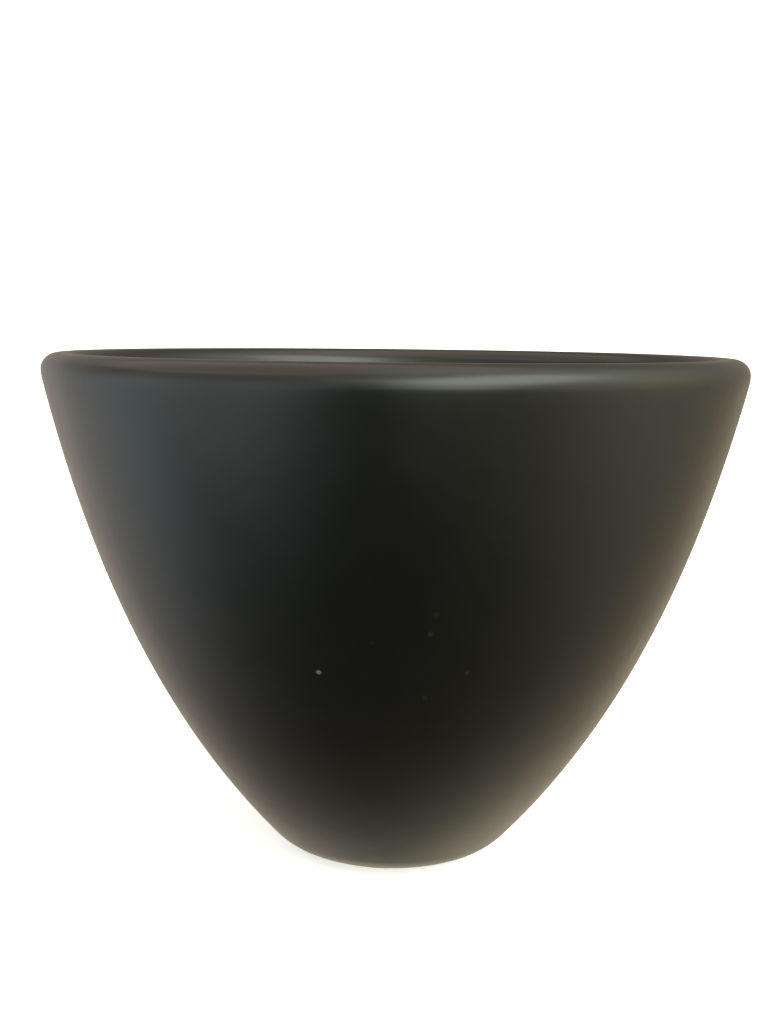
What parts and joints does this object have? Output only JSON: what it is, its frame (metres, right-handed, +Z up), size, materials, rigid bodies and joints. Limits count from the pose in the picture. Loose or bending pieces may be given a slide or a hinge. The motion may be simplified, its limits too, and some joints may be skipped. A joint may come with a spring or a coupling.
{
  "type": "candle vessel",
  "caption": "Empty candle vessel: a tapered stoneware bowl with a round lip, satin black glaze and a bare foot ring.",
  "frame": {"origin": "middle of the foot, on the surface that the vessel stands on", "axes": "+Z up along the axis that the vessel is turned about; X and Y are any two directions across it"},
  "size_m": [0.114, 0.114, 0.0835],
  "materials": {
    "fired_stoneware": "matte",
    "satin_black_glaze": "satin"
  },
  "bodies": {
    "root": {"clay_body": "fired_stoneware", "glaze_coat": "satin_black_glaze", "recess_glaze": "satin_black_glaze"}
  },
  "joints": []
}
